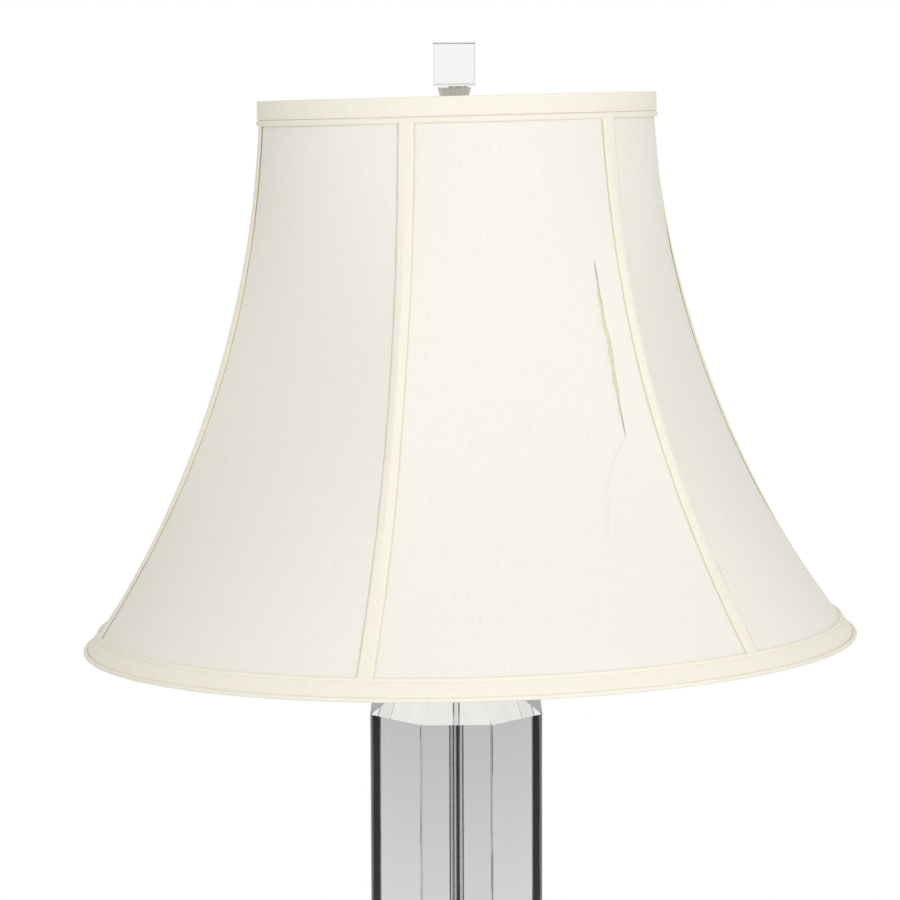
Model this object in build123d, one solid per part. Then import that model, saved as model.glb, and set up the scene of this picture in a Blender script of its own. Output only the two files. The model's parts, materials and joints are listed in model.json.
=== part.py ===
from build123d import *
import math
import os

# Table lamp: an octagonal crystal column on a crystal plinth and a metal foot, with a harp that
# carries a six-rib fabric bell shade under a crystal cube finial.
# Millimetres, +Z up, X to the right and -Y to the front; the origin is the middle of the underside.

# Fits between pieces
SLIP = 0.05
SEAT = 0.2
THREAD_PLAY = 0.1
HOLE_PLAY = 0.3

# Foot
FELT_THICK = 1.5
FELT_INSET = 1.0
BASE_ACROSS = 168.0
BASE_HEIGHT = 18.0
BASE_WALL = 3.0
BASE_BEVEL = 2.0
BUSHING_BORE = 6.5
BUSHING_BARREL = 9.5
BUSHING_FLANGE = 14.0
BUSHING_LIP = 1.6

# Crystal plinth and the metal plate on it. Crystal is bedded a little off the metal, so that it can't chip
PLINTH_ACROSS = 150.0
PLINTH_HEIGHT = 34.0
PLINTH_BEVEL_RUN = 16.0
PLINTH_BEVEL_RISE = 11.0
BEDDING = 0.15
PLATE_LIP = 3.0
PLATE_THICK = 2.5

# Crystal column
COLUMN_ACROSS = 102.0
COLUMN_LENGTH = 311.0
COLUMN_BEVEL_RUN = 26.0
COLUMN_BEVEL_RISE = 18.0
ARRIS = 0.7

# Pipe and what it clamps
PIPE_OUTER = 8.8
PIPE_BORE = 5.6
PIPE_BELOW_NUT = 2.0
PIPE_ABOVE_SADDLE = 9.0
WASHER_ACROSS = 26.0
WASHER_THICK = 1.5
NUT_ACROSS = 14.0
NUT_THICK = 5.0
CAP_ACROSS = 44.0
CAP_THICK = 5.0
CAP_ROUND = 2.0
NECK_HEIGHT = 22.0
NECK_FOOT = 24.0
NECK_WAIST = 15.0
NECK_COLLAR = 20.0
NECK_RIM = 3.0

# Harp
SADDLE_THICK = 1.6
SADDLE_WIDTH = 12.0
SADDLE_HALF = 26.0
TAB_WIDTH = 5.0
TAB_HEIGHT = 14.0
HARP_WIRE = 4.0
HARP_HEIGHT = 305.0
HARP_HALF_WIDTH = 60.0
HARP_LEG = 54.0
HARP_FLARE = 88.0
HARP_LEG_BEND = 60.0
HARP_SHOULDER = 48.0
FERRULE_LENGTH = 20.0
FERRULE_WALL = 0.8
HEAD_ACROSS = 18.0
HEAD_HEIGHT = 8.0
HEAD_SOCKET = 5.0
STUD_ACROSS = 6.4
STUD_HEIGHT = 12.5

# Lamp holder
HOLDER_ACROSS = 34.4
HOLDER_WALL = 0.7
HOLDER_CAP_HEIGHT = 22.0
HOLDER_RIM = 7.0
HOLDER_COLLAR = 13.0
HOLDER_COLLAR_HEIGHT = 4.0
SHELL_HEIGHT = 46.0
LIP_ROLL = 1.0
LINER_WALL = 0.8
CORE_HEIGHT = 19.0
CORE_ABOVE_SHELL_FOOT = 1.5
SCREW_SHELL_HEIGHT = 23.0
SCREW_SHELL_WALL = 0.5
CONTACT_ACROSS = 9.0
CONTACT_THICK = 1.2
SWITCH_SHAFT = 4.0
SWITCH_DEPTH = 6.0
SWITCH_REACH = 8.0
SWITCH_WINDOW = 7.0
KNOB_ACROSS = 12.0
KNOB_LENGTH = 11.0
KNOB_FLUTES = 12
KNOB_FLUTE = 2.0
KNOB_GRIP = 4.0

# Bulb
BULB_CAP_ACROSS = 26.4
BULB_CAP_HEIGHT = 24.0
BULB_TIP_ACROSS = 9.5
BULB_TIP_HEIGHT = 3.0
BULB_BALL = 60.0
BULB_BALL_RISE = 52.0
BULB_WALL = 0.8
BULB_NECK = 25.0

# Finial
CUBE = 25.0
CUBE_ARRIS = 0.8
CUP_HEIGHT = 17.0
CUP_TOP = 20.0
CUP_LIP = 1.0
CUP_CONE = 7.0
CUP_CONE_FOOT = 16.0
CUP_WAIST = 12.5
CUP_FOOT = 17.0
CUP_FOOT_HEIGHT = 2.5
CUP_BORE_DEPTH = 12.5

# Shade: round at both rings, drawn in towards flat panels between the ribs
SHADE_HEIGHT = 320.0
SHADE_TOP_RADIUS = 114.3
SHADE_BOTTOM_RADIUS = 225.6
RIB_SAG = 24.0
FIRST_RIB_ANGLE = -104.9
GORE_ANGLES = (60.5, 54.0, 60.2, 60.2, 60.2, 64.9)
TWIST_ANGLE = 1.5
PANEL_BOW_SHARE = 0.30
PANEL_THICK = 1.0
PANEL_SECTIONS = 11
SEAM_ANGLE = 0.1
SPIDER_DROP = 12.0
LEAN_BACK_ANGLE = 2.57
LEAN_LEFT_ANGLE = 1.25
SHADE_SHIFT = 1.5
HUB_ACROSS = 24.0
HUB_THICK = 1.5
ARM_COUNT = 3
ARM_WIRE = 3.4
ARM_FLAT = 8.0
ARM_BEND = 12.0
RING_WIRE = 3.4
RIB_WIRE = 2.4
LINING_THICK = 0.6
TAPE_WIDTH = 9.8
TAPE_EDGE = 0.5
TAPE_CROWN = 1.3
TRIM_THICK = 1.5
TOP_BAND = 11.0
TOP_WELT = 3.7
BOTTOM_BAND = 10.0
LOWER_WELT = 2.6
UPPER_WELT = 2.5

# Levels, from the table up
BASE_TOP = FELT_THICK + BASE_HEIGHT
PLINTH_TOP = BASE_TOP + PLINTH_HEIGHT
PLATE_TOP = PLINTH_TOP + PLATE_THICK
BEVEL_FOOT = PLATE_TOP + COLUMN_LENGTH
COLUMN_TOP = BEVEL_FOOT + COLUMN_BEVEL_RISE
CAP_TOP = COLUMN_TOP + CAP_THICK
NECK_TOP = CAP_TOP + NECK_HEIGHT
SADDLE_TOP = NECK_TOP + SADDLE_THICK
HEAD_TOP = SADDLE_TOP + HARP_HEIGHT
HUB_TOP = HEAD_TOP + HUB_THICK
CUP_LEVEL = HUB_TOP + CUP_HEIGHT
SHELL_FOOT = SADDLE_TOP + HOLDER_CAP_HEIGHT - HOLDER_RIM + SEAT
CORE_FOOT = SHELL_FOOT + CORE_ABOVE_SHELL_FOOT
CORE_TOP = CORE_FOOT + CORE_HEIGHT
SWITCH_LEVEL = CORE_FOOT + CORE_HEIGHT / 2
BULB_TIP_FOOT = CORE_TOP + CONTACT_THICK + SEAT
BULB_CAP_FOOT = BULB_TIP_FOOT + BULB_TIP_HEIGHT
BULB_NECK_FOOT = BULB_CAP_FOOT + BULB_CAP_HEIGHT


def save(name, shape):
    """Write one piece, under the name of its node."""
    export_step(shape, os.path.join("parts", name + ".step"))


def octagon(across, level):
    """An octagon with flats to the front, back and sides."""
    return Plane.XY.offset(level) * RegularPolygon(across / 2, 8, major_radius=False, rotation=22.5)


def prism(across, foot, height):
    return extrude(octagon(across, foot), height)


def crystal(across, foot, height, run, rise):
    """An octagonal block whose top edge slopes in, with the sharp corners taken off."""
    block = prism(across, foot, height)
    block = chamfer(block.edges().filter_by(Axis.Z), ARRIS)
    return block + extrude(block.faces().sort_by(Axis.Z)[-1], rise, taper=math.degrees(math.atan2(run, rise)))


def rod(radius, foot, top):
    return Pos(0, 0, foot) * Cylinder(radius, top - foot, align=(Align.CENTER, Align.CENTER, Align.MIN))


def tube(outer, inner, foot, top):
    return rod(outer, foot, top) - rod(inner, foot, top)


def turned(*outline):
    """A piece turned on the lamp's axis, from its outline of radius and height."""
    corners = [(radius, 0, height) for radius, height in outline]
    return revolve(make_face(Polyline(*corners, close=True)), Axis.Z)


def polar(radius, angle, height=0.0):
    turn = math.radians(angle)
    return Vector(radius * math.cos(turn), radius * math.sin(turn), height)


def mirrored(shape):
    return mirror(shape, Plane.YZ)


def bent_wire(across, path):
    return sweep((path ^ 0) * Circle(across / 2), path=path)


# The foot: felt, a hollow metal pan, the cord bushing in its back wall, the washer and the nut
def felt_pad():
    return prism(BASE_ACROSS - 2 * FELT_INSET, 0, FELT_THICK)


PIPE_HOLE = PIPE_OUTER / 2 + HOLE_PLAY
PIPE_FIT = PIPE_OUTER / 2 + THREAD_PLAY
BUSHING_LEVEL = FELT_THICK + (BASE_HEIGHT - BASE_WALL) / 2
BACK_WALL = Plane(origin=(0, BASE_ACROSS / 2, BUSHING_LEVEL), x_dir=(1, 0, 0), z_dir=(0, 1, 0))


def base_pan():
    pan = prism(BASE_ACROSS, FELT_THICK, BASE_HEIGHT)
    pan = chamfer(pan.faces().sort_by(Axis.Z)[-1].edges(), BASE_BEVEL)
    pan -= prism(BASE_ACROSS - 2 * BASE_WALL, FELT_THICK, BASE_HEIGHT - BASE_WALL)
    pan -= rod(PIPE_HOLE, FELT_THICK, BASE_TOP)
    return pan - extrude(BACK_WALL * Circle(BUSHING_BARREL / 2 + SLIP), -2 * BASE_WALL)


def cord_bushing():
    barrel = extrude(BACK_WALL * Circle(BUSHING_BARREL / 2), -(BASE_WALL + BUSHING_LIP))
    flange = extrude(BACK_WALL * Circle(BUSHING_FLANGE / 2), BUSHING_LIP)
    flange = fillet(flange.faces().sort_by(Axis.Y)[-1].edges(), BUSHING_LIP / 2)
    bore = extrude(BACK_WALL * Circle(BUSHING_BORE / 2), BUSHING_LIP + BASE_WALL + BUSHING_LIP, both=True)
    return barrel + flange - bore


WASHER_TOP = BASE_TOP - BASE_WALL
NUT_TOP = WASHER_TOP - WASHER_THICK
NUT_FOOT = NUT_TOP - NUT_THICK


def lock_washer():
    return tube(WASHER_ACROSS / 2, PIPE_HOLE, NUT_TOP, WASHER_TOP)


def lock_nut():
    hexagon = Plane.XY.offset(NUT_FOOT) * RegularPolygon(NUT_ACROSS / 2, 6, major_radius=False)
    return extrude(hexagon, NUT_THICK) - rod(PIPE_FIT, NUT_FOOT, NUT_TOP)


# The crystal stack
def plinth():
    straight = PLINTH_HEIGHT - PLINTH_BEVEL_RISE
    block = crystal(PLINTH_ACROSS, BASE_TOP + BEDDING, straight - BEDDING, PLINTH_BEVEL_RUN,
                    PLINTH_BEVEL_RISE)
    return block - rod(PIPE_HOLE, BASE_TOP, PLINTH_TOP)


def column_plate():
    plate = prism(COLUMN_ACROSS + 2 * PLATE_LIP, PLINTH_TOP + BEDDING, PLATE_THICK - 2 * BEDDING)
    return plate - rod(PIPE_HOLE, PLINTH_TOP, PLATE_TOP)


def column():
    block = crystal(COLUMN_ACROSS, PLATE_TOP, COLUMN_LENGTH, COLUMN_BEVEL_RUN, COLUMN_BEVEL_RISE)
    return block - rod(PIPE_HOLE, PLATE_TOP, COLUMN_TOP)


def column_cap():
    disc = rod(CAP_ACROSS / 2, COLUMN_TOP + BEDDING, CAP_TOP)
    disc = fillet(disc.faces().sort_by(Axis.Z)[-1].edges(), CAP_ROUND)
    return disc - rod(PIPE_HOLE, COLUMN_TOP, CAP_TOP)


def neck():
    """A turned spool between the cap and the saddle."""
    foot_rim = CAP_TOP + NECK_RIM
    top_rim = NECK_TOP - NECK_RIM
    waist = (NECK_WAIST / 2, 0, (foot_rim + top_rim) / 2)
    side = Polyline((NECK_COLLAR / 2, 0, top_rim), (NECK_COLLAR / 2, 0, NECK_TOP), (PIPE_HOLE, 0, NECK_TOP),
                    (PIPE_HOLE, 0, CAP_TOP), (NECK_FOOT / 2, 0, CAP_TOP), (NECK_FOOT / 2, 0, foot_rim))
    hollow = ThreePointArc(side @ 1, waist, side @ 0)
    return revolve(make_face([side, hollow]), Axis.Z)


def lamp_pipe():
    return tube(PIPE_OUTER / 2, PIPE_BORE / 2, NUT_FOOT - PIPE_BELOW_NUT, SADDLE_TOP + PIPE_ABOVE_SADDLE)


# The harp: saddle, two bent wires, the head with its stud, and the two sliding ferrules
LEG = SADDLE_HALF - SADDLE_THICK - SLIP - HARP_WIRE / 2
FERRULE_AXIS = (SADDLE_HALF + LEG - HARP_WIRE / 2) / 2
FERRULE_BORE = math.hypot(SADDLE_HALF - FERRULE_AXIS, TAB_WIDTH / 2) + HOLE_PLAY
WIRE_TOP = HEAD_TOP - HEAD_HEIGHT / 2


def harp_saddle():
    strip = Pos(0, 0, NECK_TOP) * Box(2 * SADDLE_HALF, SADDLE_WIDTH, SADDLE_THICK,
                                      align=(Align.CENTER, Align.CENTER, Align.MIN))
    tab = Pos(SADDLE_HALF, 0, SADDLE_TOP) * Box(SADDLE_THICK, TAB_WIDTH, TAB_HEIGHT,
                                                align=(Align.MAX, Align.CENTER, Align.MIN))
    return strip + tab + mirrored(tab) - rod(PIPE_HOLE, NECK_TOP, SADDLE_TOP)


def harp_wire():
    """The right-hand wire: up from the saddle, out round the bulb and in to the head."""
    widest = SADDLE_TOP + HARP_LEG + HARP_FLARE
    path = FilletPolyline((LEG, 0, SADDLE_TOP + SEAT), (LEG, 0, SADDLE_TOP + HARP_LEG),
                          (HARP_HALF_WIDTH, 0, widest), (HARP_HALF_WIDTH, 0, WIRE_TOP),
                          (HEAD_ACROSS / 2 - HEAD_SOCKET + SEAT, 0, WIRE_TOP),
                          radius=[HARP_LEG_BEND, HARP_LEG_BEND, HARP_SHOULDER])
    return bent_wire(HARP_WIRE, path)


def harp_head():
    head = rod(HEAD_ACROSS / 2, HEAD_TOP - HEAD_HEIGHT, HEAD_TOP)
    head = fillet(head.faces().sort_by(Axis.Z)[0].edges(), HEAD_HEIGHT / 4)
    side = Plane(origin=(HEAD_ACROSS / 2 - HEAD_SOCKET, 0, WIRE_TOP), z_dir=(1, 0, 0))
    socket = extrude(side * Circle(HARP_WIRE / 2 + SLIP), 2 * HEAD_SOCKET)
    head -= socket + mirrored(socket)
    return head + rod(STUD_ACROSS / 2, HEAD_TOP, HEAD_TOP + STUD_HEIGHT)


def ferrule():
    foot = SADDLE_TOP + SEAT
    sleeve = tube(FERRULE_BORE + FERRULE_WALL, FERRULE_BORE, foot, foot + FERRULE_LENGTH)
    return Pos(FERRULE_AXIS, 0, 0) * sleeve


# The lamp holder: cap, shell, insulating liner, core with the switch, screw shell and contact
SHELL_R = HOLDER_ACROSS / 2
SHELL_IN = SHELL_R - HOLDER_WALL
LINER_R = SHELL_IN - SEAT
LINER_IN = LINER_R - LINER_WALL
SHELL_TOP = SHELL_FOOT + SHELL_HEIGHT
SCREW_IN = BULB_CAP_ACROSS / 2 + SLIP
SWITCH_AXIS = Plane(origin=(0, 0, SWITCH_LEVEL), x_dir=(1, 0, 0), z_dir=(0, -1, 0))


def along_switch(radius, start, end):
    return extrude(SWITCH_AXIS.offset(start) * Circle(radius), end - start)


def holder_cap():
    """A bowl with a collar for the pipe below and a rim that takes the shell."""
    inside = SHELL_R + SEAT
    outside = inside + HOLDER_WALL
    collar = HOLDER_COLLAR / 2
    foot = SADDLE_TOP
    shoulder = foot + HOLDER_CAP_HEIGHT - HOLDER_RIM
    top = foot + HOLDER_CAP_HEIGHT
    collar_top = foot + HOLDER_COLLAR_HEIGHT
    floor = collar_top + HOLDER_WALL
    return turned((PIPE_FIT, foot), (collar, foot), (collar, collar_top), (outside, shoulder), (outside, top),
                  (inside, top), (inside, shoulder), (collar, floor), (PIPE_FIT, floor))


def holder_shell():
    shell = tube(SHELL_R, SHELL_IN, SHELL_FOOT, SHELL_TOP)
    roll = Pos(0, 0, SHELL_TOP) * Torus(SHELL_R - HOLDER_WALL / 2, LIP_ROLL / 2 + HOLDER_WALL / 2)
    return shell + roll - along_switch(SWITCH_WINDOW / 2, SHELL_R / 2, 2 * SHELL_R)


def holder_liner():
    liner = tube(LINER_R, LINER_IN, SHELL_FOOT + SEAT, SHELL_TOP - LIP_ROLL)
    return liner - along_switch(SWITCH_WINDOW / 2, SHELL_R / 2, 2 * SHELL_R)


def holder_core():
    core = rod(LINER_IN - SEAT, CORE_FOOT, CORE_TOP)
    return core - along_switch(SWITCH_SHAFT / 2 + SLIP, LINER_IN - SEAT - SWITCH_DEPTH, SHELL_R)


def screw_shell():
    return tube(SCREW_IN + SCREW_SHELL_WALL, SCREW_IN, CORE_TOP, CORE_TOP + SCREW_SHELL_HEIGHT)


def centre_contact():
    return rod(CONTACT_ACROSS / 2, CORE_TOP, CORE_TOP + CONTACT_THICK)


KNOB_START = SHELL_R + SWITCH_REACH


def switch_shaft():
    return along_switch(SWITCH_SHAFT / 2, LINER_IN - SWITCH_DEPTH, KNOB_START + KNOB_GRIP - SEAT)


def switch_knob():
    """A fluted knob with a blind hole for the shaft."""
    knob = along_switch(KNOB_ACROSS / 2, KNOB_START, KNOB_START + KNOB_LENGTH)
    knob = fillet(knob.faces().sort_by(Axis.Y)[0].edges(), KNOB_FLUTE / 2)
    for number in range(KNOB_FLUTES):
        centre = polar(KNOB_ACROSS / 2 + KNOB_FLUTE / 4, 360 * number / KNOB_FLUTES)
        flute = SWITCH_AXIS.offset(KNOB_START) * Pos(centre.X, centre.Y) * Circle(KNOB_FLUTE / 2)
        knob -= extrude(flute, KNOB_LENGTH)
    return knob - along_switch(SWITCH_SHAFT / 2 + SLIP, KNOB_START, KNOB_START + KNOB_GRIP)


# The bulb
def bulb_form(neck, ball, foot):
    """A ball that runs down into a round neck along the line that touches both."""
    middle = BULB_NECK_FOOT + BULB_BALL_RISE
    reach = math.hypot(neck, middle - foot)
    touch = math.atan2(middle - foot, -neck) + math.acos(ball / reach) - math.pi
    side = (ball * math.cos(touch), 0, middle + ball * math.sin(touch))
    wide = (ball, 0, middle)
    crown = (0, 0, middle + ball)
    outline = Polyline(crown, (0, 0, foot), (neck, 0, foot), side)
    dome = ThreePointArc(side, wide, crown)
    return revolve(make_face([outline, dome]), Axis.Z)


def bulb_glass():
    outside = bulb_form(BULB_NECK / 2, BULB_BALL / 2, BULB_NECK_FOOT)
    return outside - bulb_form(BULB_NECK / 2 - BULB_WALL, BULB_BALL / 2 - BULB_WALL, BULB_NECK_FOOT)


def bulb_cap():
    return rod(BULB_CAP_ACROSS / 2, BULB_CAP_FOOT, BULB_NECK_FOOT)


def bulb_tip():
    tip = Cone(BULB_TIP_ACROSS / 4, BULB_TIP_ACROSS / 2, BULB_TIP_HEIGHT,
               align=(Align.CENTER, Align.CENTER, Align.MIN))
    return Pos(0, 0, BULB_TIP_FOOT) * tip


# The finial: a crystal cube on a turned metal cup that screws on the harp's stud
def finial_cup():
    cone_foot = CUP_LEVEL - CUP_LIP - CUP_CONE
    bore = STUD_ACROSS / 2 + SLIP
    cup = turned((0, HUB_TOP), (CUP_FOOT / 2, HUB_TOP), (CUP_FOOT / 2, HUB_TOP + CUP_FOOT_HEIGHT),
                 (CUP_WAIST / 2, HUB_TOP + CUP_FOOT_HEIGHT + CUP_LIP), (CUP_WAIST / 2, cone_foot - CUP_LIP),
                 (CUP_CONE_FOOT / 2, cone_foot), (CUP_TOP / 2, CUP_LEVEL - CUP_LIP),
                 (CUP_TOP / 2, CUP_LEVEL - BEDDING), (0, CUP_LEVEL - BEDDING))
    return cup - rod(bore, HUB_TOP, HUB_TOP + CUP_BORE_DEPTH)


def finial_cube():
    cube = Pos(0, 0, CUP_LEVEL) * Box(CUBE, CUBE, CUBE, align=(Align.CENTER, Align.CENTER, Align.MIN))
    return chamfer(cube.edges(), CUBE_ARRIS)


# The shade, drawn with its bottom edge at zero and its own axis upright, then leaned on the spider.
# Its frame was bent by hand: the gores differ in width and the rings stand a little off the hub.
FABRIC_FOOT = TRIM_THICK
FABRIC_TOP = SHADE_HEIGHT - TRIM_THICK
CHORD = math.hypot(SHADE_BOTTOM_RADIUS - SHADE_TOP_RADIUS, SHADE_HEIGHT)
RIB_BEND = CHORD**2 / (8 * RIB_SAG) + RIB_SAG / 2
CHORD_RUN = (SHADE_BOTTOM_RADIUS - SHADE_TOP_RADIUS) / CHORD
CHORD_RISE = SHADE_HEIGHT / CHORD
BEND_RADIUS = (SHADE_BOTTOM_RADIUS + SHADE_TOP_RADIUS) / 2 + (RIB_BEND - RIB_SAG) * CHORD_RISE
BEND_HEIGHT = SHADE_HEIGHT / 2 + (RIB_BEND - RIB_SAG) * CHORD_RUN
RIB_COUNT = len(GORE_ANGLES)
RING_INSET = PANEL_THICK + SEAT + RING_WIRE / 2
RIB_INSET = PANEL_THICK + SEAT + RIB_WIRE / 2
LINING_INSET = PANEL_THICK + SEAT + RIB_WIRE + SEAT
TOP_RING_LEVEL = FABRIC_TOP - RING_WIRE / 2
BOTTOM_RING_LEVEL = FABRIC_FOOT + RING_WIRE / 2 + SEAT
UNDER_HUB = SPIDER_DROP - SHADE_HEIGHT
LEAN = Location((0, 0, HEAD_TOP), (-LEAN_BACK_ANGLE, -LEAN_LEFT_ANGLE, 0)) * Pos(SHADE_SHIFT, 0, UNDER_HUB)


def rib_radius(height, inset=0.0):
    """Radius of the ribs' bell curve, or of a curve that lies inside it by the inset."""
    return BEND_RADIUS - math.sqrt((RIB_BEND + inset)**2 - (height - BEND_HEIGHT)**2)


def rib_angle(number, height):
    """Direction of a rib at a height, counted round from the front left; the shade is a little twisted."""
    return FIRST_RIB_ANGLE + sum(GORE_ANGLES[:number]) + TWIST_ANGLE * (height / SHADE_HEIGHT - 1 / 2)


def middle_radius(height, half_angle):
    """Radius halfway between two ribs: round at the rings, drawn in towards flat between them."""
    bow = 1 - (1 - PANEL_BOW_SHARE) * math.sin(math.pi * height / SHADE_HEIGHT)**2
    flat = math.cos(half_angle)
    return rib_radius(height) * (flat + bow * (1 - flat))


def gore_section(height, number, outer_inset, inner_inset):
    """The slice of one panel at a height: two arcs from rib to rib and the short ends."""
    start = rib_angle(number, height)
    end = rib_angle(number + 1, height)
    drawn_in = rib_radius(height) - middle_radius(height, math.radians(end - start) / 2)

    def bowed(inset):
        radius = rib_radius(height, inset)
        middle = polar(radius - drawn_in, (start + end) / 2, height)
        return ThreePointArc(polar(radius, start + SEAM_ANGLE, height), middle,
                             polar(radius, end - SEAM_ANGLE, height))

    outer = bowed(outer_inset)
    inner = bowed(inner_inset)
    return make_face([outer, inner, Line(outer @ 0, inner @ 0), Line(outer @ 1, inner @ 1)])


def gore(number, foot, top, outer_inset, thick):
    """One panel, lofted through its slices."""
    rise = (top - foot) / (PANEL_SECTIONS - 1)
    slices = [gore_section(foot + rise * step, number, outer_inset, outer_inset + thick)
              for step in range(PANEL_SECTIONS)]
    return loft(slices)


def tape_edge(height, number):
    """The edge of a tape that lies on one panel: how far it is set back from the rib, and across."""
    radius = rib_radius(height)
    half = math.radians(GORE_ANGLES[number] / 2)
    bulge = middle_radius(height, half) - radius * math.cos(half)
    fold = half - 2 * math.atan2(bulge, radius * math.sin(half))
    return radius + SEAT - TAPE_WIDTH / 2 * math.sin(fold), TAPE_WIDTH / 2 * math.cos(fold)


def tape_section(height, number):
    """The slice of a rib tape: folded over the rib's corner, thicker in the middle."""
    under = rib_radius(height) + SEAT
    left, left_side = tape_edge(height, number - 1)
    right, right_side = tape_edge(height, number)
    outward = polar(1, rib_angle(number, height))
    frame = Plane(origin=(0, 0, height), x_dir=outward, z_dir=(0, 0, 1))
    inside = Polyline((left + TAPE_EDGE, -left_side), (left, -left_side), (under, 0),
                      (right, right_side), (right + TAPE_EDGE, right_side))
    outside = ThreePointArc(inside @ 0, (under + TAPE_CROWN, 0), inside @ 1)
    return frame * make_face([inside, outside])


def rib_tape(number):
    foot = BOTTOM_BAND + UPPER_WELT + SEAT
    rise = (SHADE_HEIGHT - TOP_BAND - TOP_WELT - SEAT - foot) / (PANEL_SECTIONS - 1)
    return loft([tape_section(foot + rise * step, number) for step in range(PANEL_SECTIONS)])


def rib_wire(number):
    foot = BOTTOM_RING_LEVEL + RING_WIRE / 2 + SEAT
    top = TOP_RING_LEVEL - RING_WIRE / 2 - SEAT
    levels = (foot, (foot + top) / 2, top)
    points = [polar(rib_radius(level, RIB_INSET), rib_angle(number, level), level) for level in levels]
    return bent_wire(RIB_WIRE, ThreePointArc(*points))


def wire_ring(level):
    return Pos(0, 0, level) * Torus(rib_radius(level, RING_INSET), RING_WIRE / 2)


RING_INNER = rib_radius(TOP_RING_LEVEL, RING_INSET) - RING_WIRE / 2
BOTTOM_RING_INNER = rib_radius(BOTTOM_RING_LEVEL, RING_INSET) - RING_WIRE / 2
TOP_BAND_FOOT = SHADE_HEIGHT - TOP_BAND
TOP_BAND_IN = rib_radius(TOP_BAND_FOOT) + SEAT
BAND_FOOT = LOWER_WELT + SEAT
BAND_FOOT_OUT = rib_radius(BAND_FOOT) + SEAT + TRIM_THICK


def top_trim():
    """A band round the outside that folds in over the top ring."""
    outside = TOP_BAND_IN + TRIM_THICK
    under = FABRIC_TOP + SEAT / 2
    return turned((outside, TOP_BAND_FOOT), (outside, SHADE_HEIGHT), (RING_INNER, SHADE_HEIGHT),
                  (RING_INNER, under), (TOP_BAND_IN, under), (TOP_BAND_IN, TOP_BAND_FOOT))


def top_welt():
    """A half-round cord under the top band."""
    foot = TOP_BAND_FOOT - TOP_WELT
    inside = rib_radius(foot) + SEAT
    back = Line((inside, 0, foot), (inside, 0, TOP_BAND_FOOT))
    round_face = ThreePointArc(back @ 1, (inside + TOP_WELT / 2, 0, TOP_BAND_FOOT - TOP_WELT / 2), back @ 0)
    return revolve(make_face([back, round_face]), Axis.Z)


def bottom_trim():
    """A flared band that folds in under the bottom ring, with a step for the cord along its foot."""
    low_in = rib_radius(FABRIC_FOOT) + SEAT
    high = rib_radius(BOTTOM_BAND) + SEAT
    under = FABRIC_FOOT - SEAT / 2
    return turned((BOTTOM_RING_INNER, 0), (BAND_FOOT_OUT, 0), (BAND_FOOT_OUT, BAND_FOOT),
                  (high + TRIM_THICK, BOTTOM_BAND), (high, BOTTOM_BAND), (low_in, under),
                  (BOTTOM_RING_INNER, under))


def round_cord(across, radius, level):
    return Pos(0, 0, level) * Torus(radius, across / 2)


def lower_welt():
    return round_cord(LOWER_WELT, BAND_FOOT_OUT + SEAT + LOWER_WELT / 2, LOWER_WELT / 2)


def upper_welt():
    level = BOTTOM_BAND + UPPER_WELT / 2
    return round_cord(UPPER_WELT, rib_radius(BOTTOM_BAND) + SEAT + UPPER_WELT / 2, level)


def spider_hub():
    return tube(HUB_ACROSS / 2, STUD_ACROSS / 2 + HOLE_PLAY, HEAD_TOP, HUB_TOP)


def spider_arm(number):
    """A wire that lies on the hub, then bends up to the top ring beside a rib."""
    rib = rib_angle(number, TOP_RING_LEVEL)
    level = HUB_TOP + ARM_WIRE / 2
    on_hub = CUP_FOOT / 2 + HOLE_PLAY
    ring_side = polar(RING_INNER - SEAT, rib, TOP_RING_LEVEL)
    far_end = (LEAN * Location(ring_side)).position
    bend = polar(on_hub + ARM_FLAT, rib, level)
    return bent_wire(ARM_WIRE, FilletPolyline(polar(on_hub, rib, level), bend, far_end, radius=ARM_BEND))


def main():
    os.makedirs("parts", exist_ok=True)
    for piece in (felt_pad, base_pan, cord_bushing, lock_washer, lock_nut, plinth, column_plate, column,
                  column_cap, neck, lamp_pipe, harp_saddle, harp_head, holder_cap, holder_shell, holder_liner,
                  holder_core, screw_shell, centre_contact, switch_shaft, switch_knob, bulb_glass, bulb_cap,
                  bulb_tip, finial_cup, finial_cube, spider_hub):
        save(piece.__name__, piece())
    for name, piece in (("harp_wire", harp_wire()), ("ferrule", ferrule())):
        save(name + "_right", piece)
        save(name + "_left", mirrored(piece))
    for piece in (top_trim, top_welt, bottom_trim, upper_welt, lower_welt):
        save(piece.__name__, LEAN * piece())
    save("top_ring", LEAN * wire_ring(TOP_RING_LEVEL))
    save("bottom_ring", LEAN * wire_ring(BOTTOM_RING_LEVEL))

    lining_foot = BOTTOM_RING_LEVEL + RING_WIRE / 2 + SEAT
    lining_top = TOP_RING_LEVEL - RING_WIRE / 2 - SEAT
    lining = []
    for number in range(RIB_COUNT):
        save(f"panel_{number + 1}", LEAN * gore(number, FABRIC_FOOT, FABRIC_TOP, 0, PANEL_THICK))
        save(f"rib_tape_{number + 1}", LEAN * rib_tape(number))
        save(f"rib_wire_{number + 1}", LEAN * rib_wire(number))
        lining.append(LEAN * gore(number, lining_foot, lining_top, LINING_INSET, LINING_THICK))
    save("lining", Compound(children=lining))
    for number in range(ARM_COUNT):
        save(f"spider_arm_{number + 1}", spider_arm(1 + number * RIB_COUNT // ARM_COUNT))
    print("height", CUP_LEVEL + CUBE, "bevel foot", BEVEL_FOOT, "rib bend", RIB_BEND)


main()
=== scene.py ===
# %% [markdown]
# A crystal column lamp with a bell shade.
# The lamp arrives as a fixed frame of crystal, metal and wire, already in its real place and size.
# This lesson gives those pieces their finishes, sews the soft shade over the wires, and sets up the
# picture. Everything is in metres: +Z is up, and the front of the lamp faces -Y.

import json
import math

import bmesh
import bpy
from mathutils import Matrix, Vector


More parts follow.
